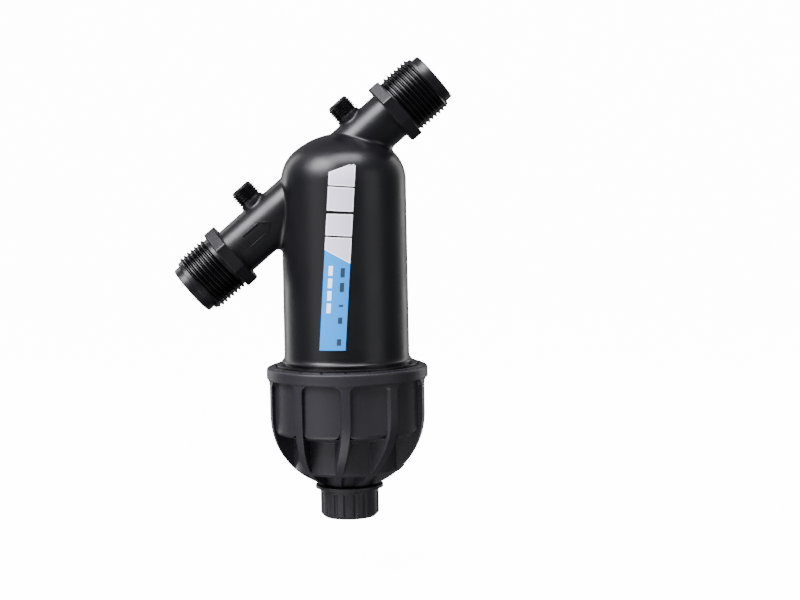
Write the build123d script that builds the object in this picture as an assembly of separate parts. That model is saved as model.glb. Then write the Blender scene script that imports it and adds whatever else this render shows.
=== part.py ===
from build123d import *
import math
import os

# Screen filter for an irrigation line: a domed barrel on a slanted pipe, closed from below by a
# screwed bowl with a flush cap, with a cylindrical screen element inside. All sizes are in mm.
# While it is modelled the barrel's axis is Z and the pipe's axis crosses it at height 0.
# At the end everything moves so that the origin is the lower port's axis at its collar face.

# Slanted pipe with its two ports
PIPE_ANGLE = 40.3
PIPE_R = 13.2
PORT_BORE_R = 10.5
PORT_BORE_DEPTH = 40.0
THROAT_R = 10.0
LOWER_REACH = 104.3
UPPER_REACH = 62.8
PORT_ROOT_R = 15.1
PORT_THREAD_LENGTH = 20.0
PILOT_R = 13.65
PILOT_LENGTH = 4.0
PORT_EDGE = 0.5
COLLAR_FLATS = 8
COLLAR_ACROSS = 34.5
COLLAR_WIDTH = 6.2
COLLAR_CORNER_R = 1.6
COLLAR_EDGE = 0.4
UPPER_THROAT_START = 8.0

# Closed gauge stubs on the pipe's upper side
STUB_ROOT_R = 5.75
STUB_BOSS_R = 6.5
STUB_REACH = 23.5
STUB_BOSS_RISE = 1.6
STUB_TIP_CHAMFER = 0.9
STUB_FILLET = 1.0
LOWER_STUB_AT = 50.2
UPPER_STUB_AT = 16.0

# Barrel
BARREL_R = 32.3
BARREL_BASE_R = 32.5
BARREL_WALL = 3.1
SHOULDER_R = 20.0
SHOULDER_DROP = 12.0
CROWN_RISE = 24.5
JOINT_FILLET = 2.0
SEAM_TURN = 20.0
BEAD_STEP = 1.3
BEAD_DROP = 104.7
BEAD_HEIGHT = 0.8
BEAD_FLARE = 2.6
BEAD_FLARE_R = 3.0
LIP_R = 36.7
LIP_HEIGHT = 2.3
LIP_DROP = 108.8
SKIRT_ROOT_R = 33.0
SKIRT_LENGTH = 27.4

# Screen element
ELEMENT_LENGTH = 156.0
ELEMENT_TOP_DROP = 2.5
CAGE_R = 23.4
CAGE_BORE_R = 18.9
CAGE_RIM = 4.0
CAGE_BAND = 3.0
CAGE_RINGS = 4
CAGE_RING_HEIGHT = 5.1
CAGE_BARS = 4
CAGE_BAR_WIDTH = 5.2
CAGE_BAR_SETBACK = 0.3
ELEMENT_SEAL_HEIGHT = 3.1
ELEMENT_SEAL_DEPTH = 2.9
MESH_WALL = 0.4

# How the element sits in the barrel and in the bowl
SEAL_BORE_R = 23.9
STOP_BORE_R = 21.5
STOP_CLEARANCE = 0.3
PARTITION_CLEARANCE = 1.0
RUNNING_CLEARANCE = 0.08
CUP_FLOOR_CLEARANCE = 0.5
CUP_SEAL_DEPTH = 10.0

# Bowl
THREAD_ROOM = 2.0
LIP_SIDE_CLEARANCE = 0.5
LIP_FLOOR_CLEARANCE = 0.5
COLLAR_WALL = 4.7
RIM_OVER_LIP = 0.75
RIM_ROUND = 1.3
RIM_RING_WALL = 2.5
RIM_RING_RISE = 0.5
NOTCHES = 20
NOTCH_WIDTH = 1.0
NOTCH_DEPTH = 0.7
BOWL_COLLAR_HEIGHT = 6.15
BOWL_PHASE = -2.4
RIB_R = 41.3
RIB_STRAIGHT = 17.3
RIBS = 10
RIB_WIDTH = 4.6
RIB_INNER_WIDTH = 3.0
SWIRL_PER_MM = 0.73
VANE_TIP_R = 15.7
PANEL_R = 39.3
PANEL_TOP_CORNER = 3.3
PANEL_FOOT_CORNER = 3.8
PANEL_FOOT_DEPTH = 3.3
PANEL_FOOT_ROUND = 2.5
UNDERSIDE_DROP = 3.0
FLOOR_THICKNESS = 4.0
CUP_OUTER_R = 28.8
CUP_WALL = 3.0
CUP_FLOOR = 3.5
CUP_ROUND = 2.0
NECK_R = 15.0
NECK_LENGTH = 6.85

# Seal between the barrel's skirt and the bowl's floor
BOWL_SEAL_HEIGHT = 2.9
BOWL_SEAL_WIDTH = 3.2
BOWL_SEAL_PROUD = 1.3
GROOVE_CLEARANCE = 0.2

# Flush port and its cap
FLUSH_HOLE_R = 8.0
FLUSH_ROOT_R = 12.0
FLUSH_BOSS_LENGTH = 13.6
FLUSH_THREAD_ROOM = 1.5
GASKET_THICKNESS = 1.6
CAP_GAP = 0.8
CAP_FLANGE_R = 17.7
CAP_FLANGE_HEIGHT = 1.5
CAP_R = 15.2
CAP_FLOOR = 2.4
CAP_BAND = 2.1
CAP_CHAMFER = 2.0
CAP_FLUTES = 18
FLUTE_R = 1.1

# Label film on the front of the barrel
LABEL_WIDTH = 13.7
LABEL_LEAN = 4.2
LABEL_CENTRE_X = -4.4
LABEL_TOP_DROP = 2.1
LABEL_TOP_SLOPE = 23.4
LABEL_BOTTOM_DROP = 97.1
LABEL_FILM = 0.25
LABEL_GLUE = 0.05

# Heights worked out from the sizes above
lip_z = -LIP_DROP
flare_z = BEAD_FLARE - BEAD_DROP
skirt_end_z = lip_z - SKIRT_LENGTH
rim_z = lip_z + RIM_OVER_LIP
bowl_floor_z = skirt_end_z - BOWL_SEAL_PROUD
ledge_z = bowl_floor_z - FLOOR_THICKNESS
panel_top_z = rim_z - BOWL_COLLAR_HEIGHT
rib_bend_z = panel_top_z - RIB_STRAIGHT
underside_z = ledge_z - UNDERSIDE_DROP
element_top_z = -ELEMENT_TOP_DROP
element_end_z = element_top_z - ELEMENT_LENGTH
cup_floor_z = element_end_z - CUP_FLOOR_CLEARANCE
cup_end_z = cup_floor_z - CUP_FLOOR
neck_end_z = cup_end_z - NECK_LENGTH
boss_end_z = neck_end_z - FLUSH_BOSS_LENGTH
cap_top_z = neck_end_z - CAP_GAP
cap_floor_z = boss_end_z - GASKET_THICKNESS
cap_end_z = cap_floor_z - CAP_FLOOR

# Radii worked out from the sizes above
cavity_r = BARREL_R - BARREL_WALL
bead_r = BARREL_BASE_R + BEAD_STEP
flare_turn = math.atan2(BEAD_STEP, BEAD_FLARE / 2)
flare_r = min(BEAD_FLARE_R, 0.99 * BEAD_FLARE / 2 / math.tan(flare_turn / 2))
bowl_bore_r = SKIRT_ROOT_R + THREAD_ROOM
mouth_r = LIP_R + LIP_SIDE_CLEARANCE
collar_r = mouth_r + COLLAR_WALL
rim_ring_r = mouth_r + RIM_RING_WALL
cup_r = CUP_OUTER_R - CUP_WALL
seal_mid_r = (cavity_r + SKIRT_ROOT_R) / 2
cap_bore_r = FLUSH_ROOT_R + FLUSH_THREAD_ROOM
groove_floor_r = SEAL_BORE_R - ELEMENT_SEAL_DEPTH

slope = math.radians(PIPE_ANGLE)
lower_plane = Plane(origin=(0, 0, 0), x_dir=(-math.sin(slope), 0, math.cos(slope)),
                    z_dir=(-math.cos(slope), 0, -math.sin(slope)))
upper_plane = Plane(origin=(0, 0, 0), x_dir=(-math.sin(slope), 0, math.cos(slope)),
                    z_dir=(math.cos(slope), 0, math.sin(slope)))


def turned(*outline, rounds=()):
    """Solid of revolution about Z from a closed outline of (radius, height) points or edges.
    Each of the rounds is a point of the outline with the radius it is rounded by."""
    if not isinstance(outline[0], Edge):
        outline = Polyline(*outline, close=True)
    section = make_face(outline)
    for corner, radius in rounds:
        section = fillet(section.vertices().sort_by_distance(corner)[0], radius)
    return revolve(Plane.XZ * section, Axis.Z)


def disc(radius, low, high):
    """Cylinder about Z between two heights."""
    return Pos(0, 0, low) * Cylinder(radius, high - low, align=(Align.CENTER, Align.CENTER, Align.MIN))


def squeezed_ring(inner_r, outer_r, low, high):
    """Rubber ring pressed flat where it touches, round at its corners."""
    depth, height = outer_r - inner_r, high - low
    section = RectangleRounded(depth, height, 0.4 * min(depth, height))
    return revolve(Plane.XZ * Pos((inner_r + outer_r) / 2, (low + high) / 2) * section, Axis.Z)


def domed_bar(skin, bottom_z):
    """Barrel's outer form, grown by skin: a tapered bar with a rounded shoulder and a flat crown."""
    radius, base_r = BARREL_R + skin, BARREL_BASE_R + skin
    shoulder_r, rise = SHOULDER_R + skin, CROWN_RISE + skin
    reach = radius - shoulder_r
    crown_r = (reach**2 + rise**2 - shoulder_r**2) / (2 * (rise - shoulder_r))
    crown_z = rise - SHOULDER_DROP - crown_r
    turn = math.degrees(math.atan2(-SHOULDER_DROP - crown_z, reach))
    return turned(
        Line((0, bottom_z), (base_r, bottom_z)),
        Line((base_r, bottom_z), (radius, -SHOULDER_DROP)),
        CenterArc((reach, -SHOULDER_DROP), shoulder_r, 0, turn),
        CenterArc((0, crown_z), crown_r, turn, 90 - turn),
        Line((0, rise - SHOULDER_DROP), (0, bottom_z)),
    )


def port_arm(reach):
    """One arm of the pipe along Z, with its collar, thread root and pilot ring."""
    thread_end = reach - PILOT_LENGTH
    collar_face = thread_end - PORT_THREAD_LENGTH
    octagon = RegularPolygon(COLLAR_ACROSS / 2, COLLAR_FLATS, major_radius=False,
                             rotation=180 / COLLAR_FLATS)
    collar = extrude(fillet(octagon.vertices(), COLLAR_CORNER_R), COLLAR_WIDTH)
    rims = collar.faces().filter_by(Axis.Z).edges()
    collar = Pos(0, 0, collar_face - COLLAR_WIDTH) * chamfer(rims, COLLAR_EDGE)
    port = turned((0, 0), (PIPE_R, 0), (PIPE_R, collar_face), (PORT_ROOT_R, collar_face),
                  (PORT_ROOT_R, thread_end), (PILOT_R, thread_end), (PILOT_R, reach - PORT_EDGE),
                  (PILOT_R - PORT_EDGE, reach), (0, reach))
    return port + collar


def water_way(throat_start, reach):
    """Space inside one arm along Z: the port's bore and the slightly narrower throat behind it."""
    throat_end = reach - PORT_BORE_DEPTH
    return disc(THROAT_R, throat_start, throat_end) + disc(PORT_BORE_R, throat_end, reach)


def gauge_stub(plane, distance):
    """Closed threaded stub that stands square on the pipe's upper side."""
    foot = plane * Pos(0, 0, distance) * Rot(0, 90, 0)
    root = Cylinder(STUB_ROOT_R, STUB_REACH, align=(Align.CENTER, Align.CENTER, Align.MIN))
    root = chamfer(root.edges().sort_by(Axis.Z)[-1], STUB_TIP_CHAMFER)
    boss = disc(STUB_BOSS_R, 0, PIPE_R + STUB_BOSS_RISE)
    return foot * (root + boss)


def blended(body, branch, radius):
    """Both solids in one, with a fillet along the curves where the branch grows out of the body."""
    joined = body + branch
    curves = new_edges(body, branch, combined=joined).filter_by(GeomType.BSPLINE)
    return fillet(curves, radius)


def make_housing():
    """Barrel, slanted pipe, ports, stubs and threaded skirt, moulded in one."""
    arms = lower_plane * port_arm(LOWER_REACH) + upper_plane * port_arm(UPPER_REACH)
    stubs = gauge_stub(lower_plane, LOWER_STUB_AT) + gauge_stub(upper_plane, UPPER_STUB_AT)
    # The bar's seam line is turned out of the arms' plane, so that no fillet meets it there
    body = blended(Rot(0, 0, SEAM_TURN) * domed_bar(0, flare_z), arms, JOINT_FILLET)
    body = blended(body, stubs, STUB_FILLET)
    body += turned((0, flare_z), (BARREL_BASE_R, flare_z), (BARREL_BASE_R, -BEAD_DROP + BEAD_FLARE / 2),
                   (bead_r, -BEAD_DROP), (bead_r, -BEAD_DROP - BEAD_HEIGHT),
                   (SKIRT_ROOT_R, -BEAD_DROP - BEAD_HEIGHT), (SKIRT_ROOT_R, lip_z + LIP_HEIGHT),
                   (LIP_R, lip_z + LIP_HEIGHT), (LIP_R, lip_z), (SKIRT_ROOT_R, lip_z),
                   (SKIRT_ROOT_R, skirt_end_z), (0, skirt_end_z),
                   rounds=[((BARREL_BASE_R, -BEAD_DROP + BEAD_FLARE / 2), flare_r)])

    # The lower throat opens into the space round the element, the upper one into the dome
    throat_start = (cavity_r - THROAT_R * math.sin(slope)) / math.cos(slope)
    partition_z = THROAT_R * math.cos(slope) - throat_start * math.sin(slope) + PARTITION_CLEARANCE
    stop_z = element_top_z + STOP_CLEARANCE
    chamber = domed_bar(-BARREL_WALL, stop_z) & disc(STOP_BORE_R, stop_z, CROWN_RISE)
    body -= disc(cavity_r, skirt_end_z, partition_z)
    body -= disc(SEAL_BORE_R, partition_z, stop_z) + chamber
    body -= lower_plane * water_way(throat_start, LOWER_REACH)
    body -= upper_plane * water_way(UPPER_THROAT_START, UPPER_REACH)
    return body


def make_cage():
    """Moulded cage of the element: rims with seal grooves, rings and bars round open windows."""
    end_block = CAGE_RIM + ELEMENT_SEAL_HEIGHT + CAGE_BAND
    low, high = element_end_z, element_top_z
    pitch = (ELEMENT_LENGTH - 2 * end_block + CAGE_RING_HEIGHT) / (CAGE_RINGS + 1)
    cage = disc(CAGE_R, low, low + end_block) + disc(CAGE_R, high - end_block, high)
    for i in range(CAGE_RINGS):
        ring_low = low + end_block + (i + 1) * pitch - CAGE_RING_HEIGHT
        cage += disc(CAGE_R, ring_low, ring_low + CAGE_RING_HEIGHT)
    cage -= disc(CAGE_BORE_R, low, high)
    middle = Pos(0, 0, (low + high) / 2)
    slabs = [middle * Rot(0, 0, i * 360 / CAGE_BARS) * Box(2 * CAGE_R, CAGE_BAR_WIDTH, ELEMENT_LENGTH)
             for i in range(CAGE_BARS // 2)]
    bar_low, bar_high = low + CAGE_RIM, high - CAGE_RIM
    bar_wall = disc(CAGE_R, bar_low, bar_high) - disc(CAGE_BORE_R + CAGE_BAR_SETBACK, bar_low, bar_high)
    cage += bar_wall & (slabs[0] + slabs[1:])
    for groove_low in (low + CAGE_RIM, high - CAGE_RIM - ELEMENT_SEAL_HEIGHT):
        groove_high = groove_low + ELEMENT_SEAL_HEIGHT
        cage -= disc(CAGE_R, groove_low, groove_high) - disc(groove_floor_r, groove_low, groove_high)
    return cage


def make_mesh():
    """Screen tube against the inside of the cage."""
    return disc(CAGE_BORE_R, element_end_z, element_top_z) - disc(
        CAGE_BORE_R - MESH_WALL, element_end_z, element_top_z)


def element_seal(low, outer_r):
    """Ring in one of the cage's grooves."""
    return squeezed_ring(groove_floor_r, outer_r, low, low + ELEMENT_SEAL_HEIGHT)


def rib_side(side, turn, radius):
    """Plan point on one side of a rib: the ribs swirl as they run inwards and get thinner."""
    share = (RIB_R - radius) / (RIB_R - NECK_R)
    half_width = (RIB_WIDTH + share * (RIB_INNER_WIDTH - RIB_WIDTH)) / 2
    angle = math.radians(turn - SWIRL_PER_MM * (RIB_R - radius)) + side * half_width / radius
    return (radius * math.cos(angle), radius * math.sin(angle))


def between_ribs(inner_r, low, high):
    """Prism between two neighbouring ribs, from a radius outwards; its sides follow their swirl."""
    outer_r = collar_r * 1.1
    radii = (NECK_R, (NECK_R + outer_r) / 2, outer_r)
    first = [rib_side(1, 0, r) for r in radii]
    second = [rib_side(-1, 360 / RIBS, r) for r in radii]
    outline = [ThreePointArc(*first), Line(first[2], second[2]), ThreePointArc(*reversed(second)),
               Line(second[0], first[0])]
    return Pos(0, 0, low) * extrude(make_face(outline), high - low) - disc(inner_r, low, high)


def side_edges(prism, end):
    """Edges that run along the ribs at the low or high end (0 or -1) of such a prism."""
    def spread(edge):
        radii = [math.hypot(point.X, point.Y) for point in (edge @ 0, edge @ 1)]
        return max(radii) - min(radii)
    return sorted(prism.edges().group_by(Axis.Z)[end], key=spread)[-2:]


def make_bowl():
    """Screwed bowl: collar, recessed panels, swirling vanes, inner cup and flush boss in one."""
    tip_in = RIB_R - VANE_TIP_R
    bend_r = (tip_in**2 + (rib_bend_z - neck_end_z)**2) / (2 * tip_in)
    bend = math.degrees(math.asin((rib_bend_z - neck_end_z) / bend_r))
    collar_end_z = panel_top_z + collar_r - RIB_R
    body = turned(
        Line((0, rim_z), (collar_r - RIM_ROUND, rim_z)),
        CenterArc((collar_r - RIM_ROUND, rim_z - RIM_ROUND), RIM_ROUND, 0, 90),
        Line((collar_r, rim_z - RIM_ROUND), (collar_r, collar_end_z)),
        Line((collar_r, collar_end_z), (RIB_R, panel_top_z)),
        Line((RIB_R, panel_top_z), (RIB_R, rib_bend_z)),
        CenterArc((RIB_R - bend_r, rib_bend_z), bend_r, -bend, bend),
        Line((VANE_TIP_R, neck_end_z), (0, neck_end_z)),
        Line((0, neck_end_z), (0, rim_z)),
    )

    # Gaps between the ribs go in to a turned core, and a little further at the panels' lower corners
    core = turned((0, rim_z), (PANEL_R, rim_z), (PANEL_R, ledge_z), (CUP_OUTER_R, underside_z),
                  (CUP_OUTER_R, cup_end_z), (NECK_R, cup_end_z), (NECK_R, neck_end_z), (0, neck_end_z),
                  rounds=[((PANEL_R, ledge_z), PANEL_FOOT_ROUND), ((CUP_OUTER_R, cup_end_z), CUP_ROUND)])
    upper = between_ribs(cup_r, underside_z, panel_top_z)
    upper = fillet(side_edges(upper, -1), PANEL_TOP_CORNER)
    foot_r = PANEL_R - PANEL_FOOT_DEPTH
    panel = between_ribs(foot_r, ledge_z, panel_top_z)
    foot_corners = panel - fillet(side_edges(panel, 0), PANEL_FOOT_CORNER)
    gap = upper + between_ribs(0, neck_end_z, underside_z) - core
    gap += foot_corners
    body -= [Rot(0, 0, BOWL_PHASE - 90 + i * 360 / RIBS) * gap for i in range(RIBS)]
    body += disc(FLUSH_ROOT_R, boss_end_z, neck_end_z)

    # Rim with its notches, and the mouth that takes the barrel's lip
    ring_top_z = rim_z + RIM_RING_RISE
    body += disc(rim_ring_r, rim_z, ring_top_z)
    body -= disc(mouth_r, lip_z - LIP_FLOOR_CLEARANCE, ring_top_z)
    notch = Pos(mouth_r, 0, ring_top_z) * Box(
        RIM_RING_WALL, NOTCH_WIDTH, 2 * NOTCH_DEPTH, align=(Align.MIN, Align.CENTER, Align.CENTER))
    body -= [Rot(0, 0, BOWL_PHASE - 90 + i * 360 / NOTCHES) * notch for i in range(NOTCHES)]

    # Hollow inside: threaded bore, floor with the seal's groove, cup for the element, flush hole
    body -= disc(bowl_bore_r, bowl_floor_z, rim_z)
    body -= disc(cup_r, cup_floor_z + CUP_SEAL_DEPTH, bowl_floor_z)
    body -= disc(SEAL_BORE_R, cup_floor_z, bowl_floor_z) + disc(FLUSH_HOLE_R, boss_end_z, cup_floor_z)
    groove_low = bowl_floor_z - (BOWL_SEAL_HEIGHT - BOWL_SEAL_PROUD)
    groove_half = BOWL_SEAL_WIDTH / 2 + GROOVE_CLEARANCE
    body -= disc(seal_mid_r + groove_half, groove_low, bowl_floor_z) - disc(
        seal_mid_r - groove_half, groove_low, bowl_floor_z)
    return body


def make_bowl_seal():
    """Ring on the bowl's floor, pressed by the end of the barrel's skirt."""
    return squeezed_ring(seal_mid_r - BOWL_SEAL_WIDTH / 2, seal_mid_r + BOWL_SEAL_WIDTH / 2,
                         skirt_end_z - BOWL_SEAL_HEIGHT, skirt_end_z)


def make_flush_gasket():
    """Flat washer between the flush boss and the floor of its cap."""
    return disc(FLUSH_ROOT_R, cap_floor_z, boss_end_z) - disc(FLUSH_HOLE_R, cap_floor_z, boss_end_z)


def make_flush_cap():
    """Fluted screw cap with a thin flange at its mouth."""
    cap = turned((0, cap_end_z), (CAP_R - CAP_CHAMFER, cap_end_z), (CAP_R, cap_end_z + CAP_CHAMFER),
                 (CAP_R, cap_top_z - CAP_FLANGE_HEIGHT), (CAP_FLANGE_R, cap_top_z - CAP_FLANGE_HEIGHT),
                 (CAP_FLANGE_R, cap_top_z), (cap_bore_r, cap_top_z), (cap_bore_r, cap_floor_z),
                 (0, cap_floor_z))
    flute_top = cap_top_z - CAP_FLANGE_HEIGHT - CAP_BAND
    flute = disc(FLUTE_R, cap_end_z, flute_top)
    for i in range(CAP_FLUTES):
        cap -= Rot(0, 0, -90 + (i + 0.5) * 360 / CAP_FLUTES) * Pos(CAP_R + FLUTE_R / 4, 0, 0) * flute
    return cap


def make_label():
    """Film that follows the barrel's front and leans a little, with a slanted top edge."""
    film = domed_bar(LABEL_GLUE + LABEL_FILM, flare_z) - domed_bar(LABEL_GLUE, flare_z)
    lean = math.tan(math.radians(LABEL_LEAN))
    rise = math.tan(math.radians(LABEL_TOP_SLOPE)) * LABEL_WIDTH / 2
    half, middle_z = LABEL_WIDTH / 2, -(LABEL_TOP_DROP + LABEL_BOTTOM_DROP) / 2

    def corner(side, height, slant):
        return (LABEL_CENTRE_X + (height - middle_z) * lean + side * half, height + side * slant)

    outline = Polyline(corner(-1, -LABEL_BOTTOM_DROP, 0), corner(1, -LABEL_BOTTOM_DROP, 0),
                       corner(1, -LABEL_TOP_DROP - rise, rise), corner(-1, -LABEL_TOP_DROP - rise, rise),
                       close=True)
    front = extrude(Plane.XZ * make_face(outline), BARREL_BASE_R * 2)
    return film & front


nodes = {
    "housing": make_housing(),
    "screen_cage": make_cage(),
    "screen_mesh": make_mesh(),
    "upper_element_seal": element_seal(element_top_z - CAGE_RIM - ELEMENT_SEAL_HEIGHT, SEAL_BORE_R),
    "lower_element_seal": element_seal(element_end_z + CAGE_RIM, SEAL_BORE_R - RUNNING_CLEARANCE),
    "bowl_seal": make_bowl_seal(),
    "bowl": make_bowl(),
    "flush_gasket": make_flush_gasket(),
    "flush_cap": make_flush_cap(),
    "label": make_label(),
}

collar_at = LOWER_REACH - PILOT_LENGTH - PORT_THREAD_LENGTH
shift = Pos(collar_at * math.cos(slope), 0, collar_at * math.sin(slope))
os.makedirs("parts", exist_ok=True)
for name, solid in nodes.items():
    export_step(shift * solid, f"parts/{name}.step")
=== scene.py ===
import bpy
import math
from mathutils import Matrix, Vector


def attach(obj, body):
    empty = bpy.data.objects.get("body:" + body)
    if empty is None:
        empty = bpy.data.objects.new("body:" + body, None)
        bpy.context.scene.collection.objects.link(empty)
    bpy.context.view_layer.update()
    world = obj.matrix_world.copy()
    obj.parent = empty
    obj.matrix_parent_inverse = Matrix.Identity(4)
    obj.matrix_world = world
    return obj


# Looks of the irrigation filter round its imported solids.
# Lengths in this file are in millimetres until MM turns them into metres, apart from the scales of
# the materials' grain, which count per metre.
MM = 0.001

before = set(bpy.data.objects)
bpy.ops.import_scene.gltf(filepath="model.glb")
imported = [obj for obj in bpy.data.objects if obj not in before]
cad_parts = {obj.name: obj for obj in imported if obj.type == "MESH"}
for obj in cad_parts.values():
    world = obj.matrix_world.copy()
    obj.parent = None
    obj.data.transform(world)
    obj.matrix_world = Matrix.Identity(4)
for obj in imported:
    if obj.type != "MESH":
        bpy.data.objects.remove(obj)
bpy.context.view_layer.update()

# Sizes that the solids already have, taken over for the threads, the print and the raised arrow.
# Heights are measured from the crossing of the barrel's and the pipe's axes.
PIPE_ANGLE = math.radians(40.3)
LOWER_COLLAR_AT = 80.3
UPPER_COLLAR_AT = 38.8
PIPE_R = 13.2
PORT_ROOT_R = 15.1
PORT_THREAD_LENGTH = 20.0
STUB_ROOT_R = 5.75
LOWER_STUB_AT = 50.2
UPPER_STUB_AT = 16.0
SKIRT_ROOT_R = 33.0
BOWL_BORE_R = 35.0
FLUSH_ROOT_R = 12.0
CAP_BORE_R = 13.5
LIP_Z = -108.8
FLARE_Z = -102.1
SKIRT_END_Z = -136.2
NECK_END_Z = -169.35
BOSS_END_Z = -182.95
BARREL_R = 32.3
BARREL_BASE_R = 32.5
SHOULDER_R = 20.0
SHOULDER_Z = -12.0
FILM_OUT = 0.3

# Threads: crests, pitches and where each one starts and ends
PORT_CREST_R = 16.4
PORT_PITCH = 2.309
PORT_THREAD_FROM = 0.2
PORT_THREAD_TO = PORT_THREAD_LENGTH - 0.4
STUB_CREST_R = 6.58
STUB_PITCH = 1.337
STUB_THREAD_FROM = 14.9
STUB_THREAD_TO = 22.6
BOWL_PITCH = 4.0
SKIRT_CREST_R = 34.6
SKIRT_THREAD_FROM = SKIRT_END_Z + 2.0
SKIRT_THREAD_TO = LIP_Z - 2.5
BOWL_CREST_R = 33.5
BOWL_THREAD_FROM = SKIRT_END_Z + 4.0
BOWL_THREAD_TO = LIP_Z - 3.4
FLUSH_PITCH = 1.814
FLUSH_CREST_R = 13.2
FLUSH_THREAD_FROM = BOSS_END_Z + 0.8
FLUSH_THREAD_TO = NECK_END_Z - 1.2
CAP_CREST_R = 12.35
CAP_THREAD_FROM = BOSS_END_Z + 1.707
CAP_THREAD_TO = NECK_END_Z - 2.1

# The barrel's axis and the pipe's two directions in the shared frame
ALONG = Vector((math.cos(PIPE_ANGLE), 0, math.sin(PIPE_ANGLE)))
SQUARE = Vector((-math.sin(PIPE_ANGLE), 0, math.cos(PIPE_ANGLE)))
FRONT = Vector((0, -1, 0))
CROSSING = LOWER_COLLAR_AT * ALONG


def axes_at(origin, z_dir, x_dir):
    """Matrix that puts a piece modelled along Z at a place in the shared frame, in metres."""
    z = z_dir.normalized()
    x = x_dir.normalized()
    y = z.cross(x)
    turn = Matrix((x, y, z)).transposed().to_4x4()
    return Matrix.Translation(origin * MM) @ turn @ Matrix.Scale(MM, 4)


BARREL = axes_at(CROSSING, Vector((0, 0, 1)), Vector((1, 0, 0)))


# Materials

# Broad noise for the gloss, fine noise for the grain, and the range that most of a noise fills
BROAD_SCALE = 38.0
BROAD_DETAIL = 2.0
FINE_DETAIL = 3.0
NOISE_ROUGHNESS = 0.6
NOISE_RANGE = (0.3, 0.7)
GLOSS_SPREAD = 0.05
GRAIN_DEPTH = 0.04
EDGE_SAMPLES = 6


def new_material(name):
    """Node material with its nodes, links and shader."""
    material = bpy.data.materials.new(name)
    material.use_nodes = True
    tree = material.node_tree
    return material, tree.nodes, tree.links, tree.nodes["Principled BSDF"]


def noise(nodes, links, scale, detail):
    """Noise over the piece's own coordinates."""
    place = nodes.new("ShaderNodeTexCoord")
    grain = nodes.new("ShaderNodeTexNoise")
    grain.inputs["Scale"].default_value = scale
    grain.inputs["Detail"].default_value = detail
    grain.inputs["Roughness"].default_value = NOISE_ROUGHNESS
    links.new(place.outputs["Object"], grain.inputs["Vector"])
    return grain


def spread(nodes, links, source, low, high):
    """Value between low and high, following a noise."""
    ramp = nodes.new("ShaderNodeMapRange")
    ramp.inputs["From Min"].default_value = NOISE_RANGE[0]
    ramp.inputs["From Max"].default_value = NOISE_RANGE[1]
    ramp.inputs["To Min"].default_value = low
    ramp.inputs["To Max"].default_value = high
    links.new(source, ramp.inputs["Value"])
    return ramp.outputs["Result"]


def plastic(name, color, rough, grain=2600.0, bump=0.12, specular=0.5, edge=0.0):
    """Moulded plastic with a fine grain, slightly uneven gloss and edges softened by a radius."""
    material, nodes, links, shader = new_material(name)
    shader.inputs["Base Color"].default_value = (*color, 1)
    shader.inputs["Specular IOR Level"].default_value = specular
    fine = noise(nodes, links, grain, FINE_DETAIL)
    broad = noise(nodes, links, BROAD_SCALE, BROAD_DETAIL)
    gloss = spread(nodes, links, broad.outputs["Fac"], rough - GLOSS_SPREAD, rough + GLOSS_SPREAD)
    links.new(gloss, shader.inputs["Roughness"])
    dent = nodes.new("ShaderNodeBump")
    dent.inputs["Strength"].default_value = bump
    dent.inputs["Distance"].default_value = GRAIN_DEPTH * MM
    links.new(fine.outputs["Fac"], dent.inputs["Height"])
    if edge:
        soft = nodes.new("ShaderNodeBevel")
        soft.samples = EDGE_SAMPLES
        soft.inputs["Radius"].default_value = edge * MM
        links.new(soft.outputs["Normal"], dent.inputs["Normal"])
    links.new(dent.outputs["Normal"], shader.inputs["Normal"])
    return material


# Wire cloth: place on the ramp and colour of the gaps and of the wires' crests
WIRE_SCALE = 420.0
WIRE_DEPTH = 0.1
WIRE_GAP = (0.45, (0.07, 0.05, 0.055, 1))
WIRE_CREST = (0.8, (0.55, 0.53, 0.57, 1))


def woven_cloth(name):
    """Fine wire cloth: two sets of wires with dark gaps between them."""
    material, nodes, links, shader = new_material(name)
    shader.inputs["Metallic"].default_value = 0.85
    shader.inputs["Roughness"].default_value = 0.42
    place = nodes.new("ShaderNodeTexCoord")
    heights = []
    for turn in (0.0, math.pi / 2):
        mapping = nodes.new("ShaderNodeMapping")
        mapping.inputs["Rotation"].default_value = (0, turn, 0)
        wave = nodes.new("ShaderNodeTexWave")
        wave.inputs["Scale"].default_value = WIRE_SCALE
        links.new(place.outputs["Object"], mapping.inputs["Vector"])
        links.new(mapping.outputs["Vector"], wave.inputs["Vector"])
        heights.append(wave.outputs["Fac"])
    both = nodes.new("ShaderNodeMath")
    both.operation = "MAXIMUM"
    links.new(heights[0], both.inputs[0])
    links.new(heights[1], both.inputs[1])
    ramp = nodes.new("ShaderNodeValToRGB")
    for element, (position, color) in zip(ramp.color_ramp.elements, (WIRE_GAP, WIRE_CREST)):
        element.position = position
        element.color = color
    links.new(both.outputs["Value"], ramp.inputs["Fac"])
    links.new(ramp.outputs["Color"], shader.inputs["Base Color"])
    dent = nodes.new("ShaderNodeBump")
    dent.inputs["Strength"].default_value = 0.5
    dent.inputs["Distance"].default_value = WIRE_DEPTH * MM
    links.new(both.outputs["Value"], dent.inputs["Height"])
    links.new(dent.outputs["Normal"], shader.inputs["Normal"])
    return material


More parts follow.
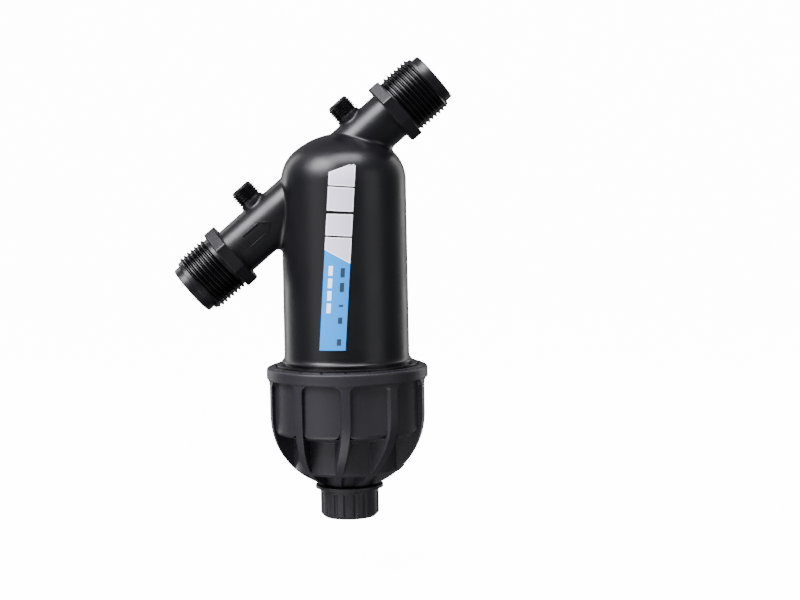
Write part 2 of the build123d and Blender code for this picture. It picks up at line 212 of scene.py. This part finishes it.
HOUSING = plastic("housing_plastic", (0.003, 0.0028, 0.0038), 0.34, bump=0.22, specular=0.27, edge=0.3)
# The threads on the housing get a darker, glossier copy of the housing plastic: painted shade for the dark
# valleys between their crests.
THREAD_PAINTED_SHADE = plastic("thread_plastic_painted_shade", (0.0006, 0.0005, 0.0008), 0.24, bump=0.05, specular=0.2)
BOWL = plastic("bowl_plastic", (0.011, 0.0102, 0.013), 0.46, bump=0.2, specular=0.25, edge=0.45)
RUBBER = plastic("seal_rubber", (0.005, 0.005, 0.0055), 0.55, grain=1400.0, bump=0.15, specular=0.4)
CAGE = plastic("cage_plastic", (0.62, 0.014, 0.022), 0.3, grain=900.0, bump=0.06)
FILM = plastic("label_film", (0.001, 0.001, 0.0014), 0.36, bump=0.05, specular=0.25)
PRINT_PALE = plastic("print_pale", (0.60, 0.58, 0.70), 0.42, bump=0.04, specular=0.3)
PRINT_EDGE = plastic("print_edge", (0.93, 0.92, 0.97), 0.42, bump=0.04)
PRINT_SKY = plastic("print_sky", (0.001, 0.22, 0.66), 0.5, bump=0.04, specular=0.12)
PRINT_DARK = plastic("print_dark", (0.012, 0.03, 0.05), 0.42, bump=0.04)
CLOTH = woven_cloth("screen_cloth")

for node, material in {
    "housing": HOUSING, "bowl": BOWL, "flush_cap": BOWL, "screen_cage": CAGE, "screen_mesh": CLOTH,
    "upper_element_seal": RUBBER, "lower_element_seal": RUBBER, "bowl_seal": RUBBER,
    "flush_gasket": RUBBER, "label": FILM,
}.items():
    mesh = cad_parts[node].data
    mesh.materials.clear()
    mesh.materials.append(material)


# Pieces

def add_piece(name, verts, faces, matrix, material, body, smooth_angle=35):
    """Mesh piece in the shared frame, riding on a body."""
    mesh = bpy.data.meshes.new(name)
    mesh.from_pydata([matrix @ Vector(v) for v in verts], [], faces)
    mesh.validate()
    mesh.materials.append(material)
    mesh.shade_smooth()
    mesh.set_sharp_from_angle(angle=math.radians(smooth_angle))
    piece = bpy.data.objects.new(name, mesh)
    bpy.context.collection.objects.link(piece)
    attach(piece, body)
    return piece


# A thread's run-out in turns, its least share of the full height, the rounding of its crest in
# shares of the pitch, and how far its foot widens below the wall in shares of the depth
RUN_OUT = 0.2
LEAST_HEIGHT = 0.02
CREST_DROP = 0.06
CREST_WIDENING = 0.02
SUNK_WIDENING = 0.4


def thread(name, matrix, root_r, crest_r, pitch, start, end, material, body, slot,
           foot_share=0.78, crest_share=0.16, steps=72, sink=0.12):
    """Helical ridge from start to end along Z, outside a shaft or inside a bore.
    Its crest is rounded off a little, and it runs out over a share of a turn at both ends."""
    outward = 1 if crest_r > root_r else -1
    foot, top = foot_share * pitch / 2, crest_share * pitch / 2
    count = int((end - start - 2 * foot) / pitch * steps)
    fade = int(steps * RUN_OUT)
    inner = root_r - outward * sink
    low_h, side_h = foot + sink * SUNK_WIDENING, top + CREST_WIDENING * pitch
    verts, faces = [], []
    for i in range(count + 1):
        share = max(LEAST_HEIGHT, min(1.0, i / fade, (count - i) / fade))
        crest = root_r + (crest_r - root_r) * share
        side = crest - outward * CREST_DROP * pitch * share
        angle = 2 * math.pi * i / steps
        z = start + foot + pitch * i / steps
        outline = [(inner, -low_h), (side, -side_h), (crest, -top / 2), (crest, top / 2),
                   (side, side_h), (inner, low_h)]
        verts += [(r * math.cos(angle), r * math.sin(angle), z + h) for r, h in outline]
    ring = len(outline)
    for i in range(count):
        a, b = i * ring, (i + 1) * ring
        for j in range(ring):
            k = (j + 1) % ring
            quad = (a + j, b + j, b + k, a + k)
            faces.append(quad if outward > 0 else quad[::-1])
    first, last = tuple(range(ring)), tuple(range(count * ring, count * ring + ring))
    faces += [first, last[::-1]] if outward > 0 else [first[::-1], last]
    return add_piece(name, verts, faces, matrix, material, body)


LOWER_PORT = axes_at(CROSSING - LOWER_COLLAR_AT * ALONG, -ALONG, SQUARE)
UPPER_PORT = axes_at(CROSSING + UPPER_COLLAR_AT * ALONG, ALONG, SQUARE)
LOWER_STUB = axes_at(CROSSING - LOWER_STUB_AT * ALONG, SQUARE, ALONG)
UPPER_STUB = axes_at(CROSSING + UPPER_STUB_AT * ALONG, SQUARE, ALONG)

for name, matrix in (("lower_port_thread", LOWER_PORT), ("upper_port_thread", UPPER_PORT)):
    thread(name, matrix, PORT_ROOT_R, PORT_CREST_R, PORT_PITCH, PORT_THREAD_FROM, PORT_THREAD_TO,
           THREAD_PAINTED_SHADE, "housing", "housing_plastic")
for name, matrix in (("lower_stub_thread", LOWER_STUB), ("upper_stub_thread", UPPER_STUB)):
    thread(name, matrix, STUB_ROOT_R, STUB_CREST_R, STUB_PITCH, STUB_THREAD_FROM, STUB_THREAD_TO,
           THREAD_PAINTED_SHADE, "housing", "housing_plastic", steps=48, sink=0.08)

# Threads that mesh with each other are slimmer, so that each leaves room for its mate
BOWL_FORM = {"foot_share": 0.42, "crest_share": 0.2}
FLUSH_FORM = {"foot_share": 0.45, "crest_share": 0.14, "steps": 56, "sink": 0.08}
thread("skirt_thread", BARREL, SKIRT_ROOT_R, SKIRT_CREST_R, BOWL_PITCH, SKIRT_THREAD_FROM, SKIRT_THREAD_TO,
       THREAD_PAINTED_SHADE, "housing", "housing_plastic", **BOWL_FORM)
thread("bowl_thread", BARREL, BOWL_BORE_R, BOWL_CREST_R, BOWL_PITCH, BOWL_THREAD_FROM, BOWL_THREAD_TO,
       BOWL, "bowl", "bowl_plastic", **BOWL_FORM)
thread("flush_thread", BARREL, FLUSH_ROOT_R, FLUSH_CREST_R, FLUSH_PITCH, FLUSH_THREAD_FROM, FLUSH_THREAD_TO,
       BOWL, "bowl", "bowl_plastic", **FLUSH_FORM)
thread("cap_thread", BARREL, CAP_BORE_R, CAP_CREST_R, FLUSH_PITCH, CAP_THREAD_FROM, CAP_THREAD_TO,
       BOWL, "flush_cap", "bowl_plastic", **FLUSH_FORM)


def barrel_r(z):
    """Radius of the barrel's outer face at a height."""
    if z > SHOULDER_Z:
        return BARREL_R - SHOULDER_R + math.sqrt(SHOULDER_R**2 - (z - SHOULDER_Z)**2)
    return BARREL_R + (BARREL_BASE_R - BARREL_R) * (SHOULDER_Z - z) / (SHOULDER_Z - FLARE_Z)


# Faces of one printed area, across and along the barrel
PATCH_COLUMNS = 10
PATCH_ROWS = 24


def print_patch(name, corners, material, lift):
    """Printed area on the film between four corners (x, z), counterclockwise from the lower left."""
    lower_left, lower_right, upper_right, upper_left = (Vector(corner) for corner in corners)
    verts, faces = [], []
    for j in range(PATCH_ROWS + 1):
        left = lower_left.lerp(upper_left, j / PATCH_ROWS)
        right = lower_right.lerp(upper_right, j / PATCH_ROWS)
        for i in range(PATCH_COLUMNS + 1):
            x, z = left.lerp(right, i / PATCH_COLUMNS)
            radius = barrel_r(z) + FILM_OUT + lift
            verts.append((x, -math.sqrt(radius**2 - x**2), z))
    row = PATCH_COLUMNS + 1
    for j in range(PATCH_ROWS):
        for i in range(PATCH_COLUMNS):
            a = j * row + i
            faces.append((a, a + 1, a + row + 1, a + row))
    return add_piece(name, verts, faces, BARREL, material, "housing", smooth_angle=60)


# Print on the film: pale blocks above, and below them a sky-blue field with a slanted top edge,
# pale dashes and dark marks. Each is given by the heights of its edges.
LABEL_WIDTH = 13.7
LABEL_LEAN = math.tan(math.radians(4.2))
LABEL_CENTRE_X = -4.4
LABEL_MIDDLE_Z = -49.6
PRINT_MARGIN = 0.25
PRINT_LIFT = 0.03


def film_point(across, z):
    """Point on the film at a height, across from its middle line (-1 to 1 between the margins)."""
    middle = LABEL_CENTRE_X + (z - LABEL_MIDDLE_Z) * LABEL_LEAN
    return (middle + across * (LABEL_WIDTH / 2 - PRINT_MARGIN), z)


def band(name, low, high, material, left=-1.0, right=1.0, lift=PRINT_LIFT, inset=0.0):
    """Printed area between two edges, each given by its heights at the left and the right side."""
    def height(edge, across):
        return edge[0] + (edge[1] - edge[0]) * (across + 1) / 2
    side = 2 * inset / LABEL_WIDTH
    left, right = left + side, right - side
    corners = [film_point(left, height(low, left) + inset), film_point(right, height(low, right) + inset),
               film_point(right, height(high, right) - inset), film_point(left, height(high, left) - inset)]
    return print_patch(name, corners, material, lift)


FIELD_BOTTOM = (-96.8, -96.8)
FIELD_TOP = (-45.9, -53.0)
BLOCK_INSET = 0.6
BLOCKS = [((-13.4, -14.4), (-7.0, -2.3)), ((-26.1, -27.0), (-14.1, -15.2)),
          ((-38.5, -39.3), (-27.8, -28.3)), (FIELD_TOP, (-39.4, -40.2))]
for i, (low, high) in enumerate(BLOCKS):
    band(f"print_edge_{i}", low, high, PRINT_EDGE)
    band(f"print_block_{i}", low, high, PRINT_PALE, lift=2 * PRINT_LIFT, inset=BLOCK_INSET)
band("print_field", FIELD_BOTTOM, FIELD_TOP, PRINT_SKY)

# Dashes on the left and marks on the right: top and length, between the strip's two sides
STRIP = (0.3, 0.62)
DASHES = [(-54.0, 4.9), (-60.3, 4.9), (-66.6, 4.9), (-72.9, 4.9)]
MARKS = [(-55.2, 4.6), (-62.6, 4.6), (-73.6, 1.1), (-80.0, 3.2), (-91.0, 3.2)]
for i, (top, length) in enumerate(DASHES):
    low = top - length
    band(f"print_dash_{i}", (low, low), (top, top), PRINT_EDGE, -STRIP[1], -STRIP[0], 2 * PRINT_LIFT)
for i, (top, length) in enumerate(MARKS):
    low = top - length
    band(f"print_mark_{i}", (low, low), (top, top), PRINT_DARK, STRIP[0], STRIP[1], 2 * PRINT_LIFT)


# Raised arrow outline on the lower arm, wrapped on the pipe
ARROW_TIP_AT = -50.1
ARROW_OFFSET = 0.5
ARROW_HEIGHT = 0.55
ARROW_STROKE = 0.6
ARROW_SINK = 0.1
ARROW_STEPS = 8
ARROW = [(0, 0), (-5.2, 4.3), (-5.2, 3.2), (-15.4, 3.4), (-15.4, -3.4), (-5.2, -3.2), (-5.2, -4.3)]


def raised_outline(name, points, stroke):
    """Closed raised line through flat points, wrapped on the pipe's front."""
    count = len(points)
    inner, outer = [], []
    for i in range(count):
        before, here, after = Vector(points[i - 1]), Vector(points[i]), Vector(points[(i + 1) % count])
        to_here, to_after = (here - before).normalized(), (after - here).normalized()
        normal = Vector((-to_here.y, to_here.x)) + Vector((-to_after.y, to_after.x))
        reach = stroke / (1 + to_here.dot(to_after))
        outer.append(here - normal * reach / 2)
        inner.append(here + normal * reach / 2)
    verts, faces = [], []
    for i in range(count):
        k = (i + 1) % count
        for step in range(ARROW_STEPS):
            for line in (outer, inner):
                p = line[i].lerp(line[k], step / ARROW_STEPS)
                for radius in (PIPE_R - ARROW_SINK, PIPE_R + ARROW_HEIGHT):
                    angle = (p.y + ARROW_OFFSET) / PIPE_R
                    place = CROSSING + (ARROW_TIP_AT + p.x) * ALONG + radius * (
                        math.sin(angle) * SQUARE + math.cos(angle) * FRONT)
                    verts.append(tuple(place))
    total = count * ARROW_STEPS
    for i in range(total):
        a, b = 4 * i, 4 * ((i + 1) % total)
        for j, k in ((0, 1), (1, 3), (3, 2), (2, 0)):
            faces.append((a + j, a + k, b + k, b + j))
    return add_piece(name, verts, faces, Matrix.Scale(MM, 4), HOUSING, "housing",
                     smooth_angle=30)


raised_outline("flow_arrow", ARROW, ARROW_STROKE)


# Backdrop, lights and camera
FLOOR_Z = -165.0
BACKDROP_R = 2400.0
BEND_R = 600.0
BACKDROP_HEIGHT = 2600.0
BACKDROP_GLOW = 14.0
BACKDROP_SIDES = 64
BEND_STEPS = 12


def backdrop():
    """Closed drum round the object that glows evenly white, and is clear when seen from outside."""
    material, nodes, links, shader = new_material("backdrop_paper")
    shader.inputs["Base Color"].default_value = (0.4, 0.4, 0.41, 1)
    shader.inputs["Roughness"].default_value = 0.9
    shader.inputs["Emission Color"].default_value = (1, 1, 1, 1)
    shader.inputs["Emission Strength"].default_value = BACKDROP_GLOW
    side = nodes.new("ShaderNodeNewGeometry")
    clear = nodes.new("ShaderNodeBsdfTransparent")
    either = nodes.new("ShaderNodeMixShader")
    links.new(side.outputs["Backfacing"], either.inputs[0])
    links.new(shader.outputs["BSDF"], either.inputs[1])
    links.new(clear.outputs["BSDF"], either.inputs[2])
    links.new(either.outputs["Shader"], nodes["Material Output"].inputs["Surface"])
    profile = []
    for i in range(BEND_STEPS + 1):
        angle = i / BEND_STEPS * math.pi / 2
        radius = BACKDROP_R - BEND_R * (1 - math.sin(angle))
        profile.append((radius, FLOOR_Z + BEND_R * (1 - math.cos(angle))))
    profile.append((BACKDROP_R, FLOOR_Z + BACKDROP_HEIGHT))
    verts, faces = [(0, 0, FLOOR_Z * MM)], []
    for radius, z in profile:
        for j in range(BACKDROP_SIDES):
            turn = 2 * math.pi * j / BACKDROP_SIDES
            verts.append((radius * math.cos(turn) * MM, radius * math.sin(turn) * MM, z * MM))
    for j in range(BACKDROP_SIDES):
        k = (j + 1) % BACKDROP_SIDES
        faces.append((0, 1 + j, 1 + k))
        for i in range(len(profile) - 1):
            low = 1 + i * BACKDROP_SIDES
            high = low + BACKDROP_SIDES
            faces.append((low + j, high + j, high + k, low + k))
        faces.append((len(verts), high + k, high + j))
    verts.append((0, 0, (FLOOR_Z + BACKDROP_HEIGHT) * MM))
    mesh = bpy.data.meshes.new("backdrop")
    mesh.from_pydata(verts, [], faces)
    mesh.materials.append(material)
    mesh.shade_smooth()
    sheet = bpy.data.objects.new("backdrop", mesh)
    bpy.context.collection.objects.link(sheet)
    # It is only a background: the object's gloss and shade come from the lights
    sheet.visible_glossy = False
    sheet.visible_diffuse = False
    sheet.visible_shadow = False


# Soft lights that look at the object: name, place, width and height, power, colour
LIGHTS_LOOK_AT = Vector((61, 0, -20))
LIGHTS = [
    ("key", (-520, -420, 760), (520, 520), 34, (0.96, 0.95, 1.0)),
    ("top", (120, -300, 950), (700, 400), 18, (0.95, 0.94, 1.0)),
    ("left_front", (-1200, -1000, 100), (900, 1500), 8, (0.96, 0.95, 1.0)),
    ("right_front", (1300, -1000, 100), (900, 1500), 7, (0.96, 0.95, 1.0)),
    ("under", (-250, -480, -680), (900, 600), 11, (0.97, 0.97, 1.0)),
    ("left_rim", (-560, 680, 100), (220, 1100), 3.2, (1, 1, 1)),
    ("right_rim", (720, 650, 100), (220, 1100), 2.4, (1, 1, 1)),
]


def area_light(name, place, size, power, color):
    """Soft rectangular light that looks at the object."""
    light = bpy.data.lights.new(name, "AREA")
    light.shape = "RECTANGLE"
    light.size, light.size_y = size[0] * MM, size[1] * MM
    light.energy = power
    light.color = color
    lamp = bpy.data.objects.new(name, light)
    lamp.location = Vector(place) * MM
    lamp.rotation_euler = (LIGHTS_LOOK_AT - Vector(place)).to_track_quat("-Z", "Y").to_euler()
    bpy.context.collection.objects.link(lamp)


backdrop()
for light_values in LIGHTS:
    area_light(*light_values)

# Weak light from all round
world = bpy.data.worlds.new("studio")
world.use_nodes = True
ambient = world.node_tree.nodes["Background"]
ambient.inputs["Color"].default_value = (0.86, 0.87, 0.9, 1)
ambient.inputs["Strength"].default_value = 0.3
bpy.context.scene.world = world

# Camera fitted to the photograph: where it looks, its lean, and its distance
VIEW_FORWARD = Vector((0.04613704, 0.99540265, -0.08393417))
VIEW_UP = Vector((0.02169377, 0.08300542, 0.99631294))
VIEW_FROM = Vector((41.416, -1034.243, 64.572))
camera_data = bpy.data.cameras.new("camera")
camera_data.lens = 90.0
camera_data.sensor_width = 36.0
camera_data.clip_end = 20000.0 * MM
camera = bpy.data.objects.new("camera", camera_data)
back = -VIEW_FORWARD.normalized()
right = VIEW_UP.cross(back).normalized()
up = back.cross(right)
turn = Matrix((right, up, back)).transposed().to_4x4()
camera.matrix_world = Matrix.Translation(VIEW_FROM * MM) @ turn
bpy.context.collection.objects.link(camera)
bpy.context.scene.camera = camera
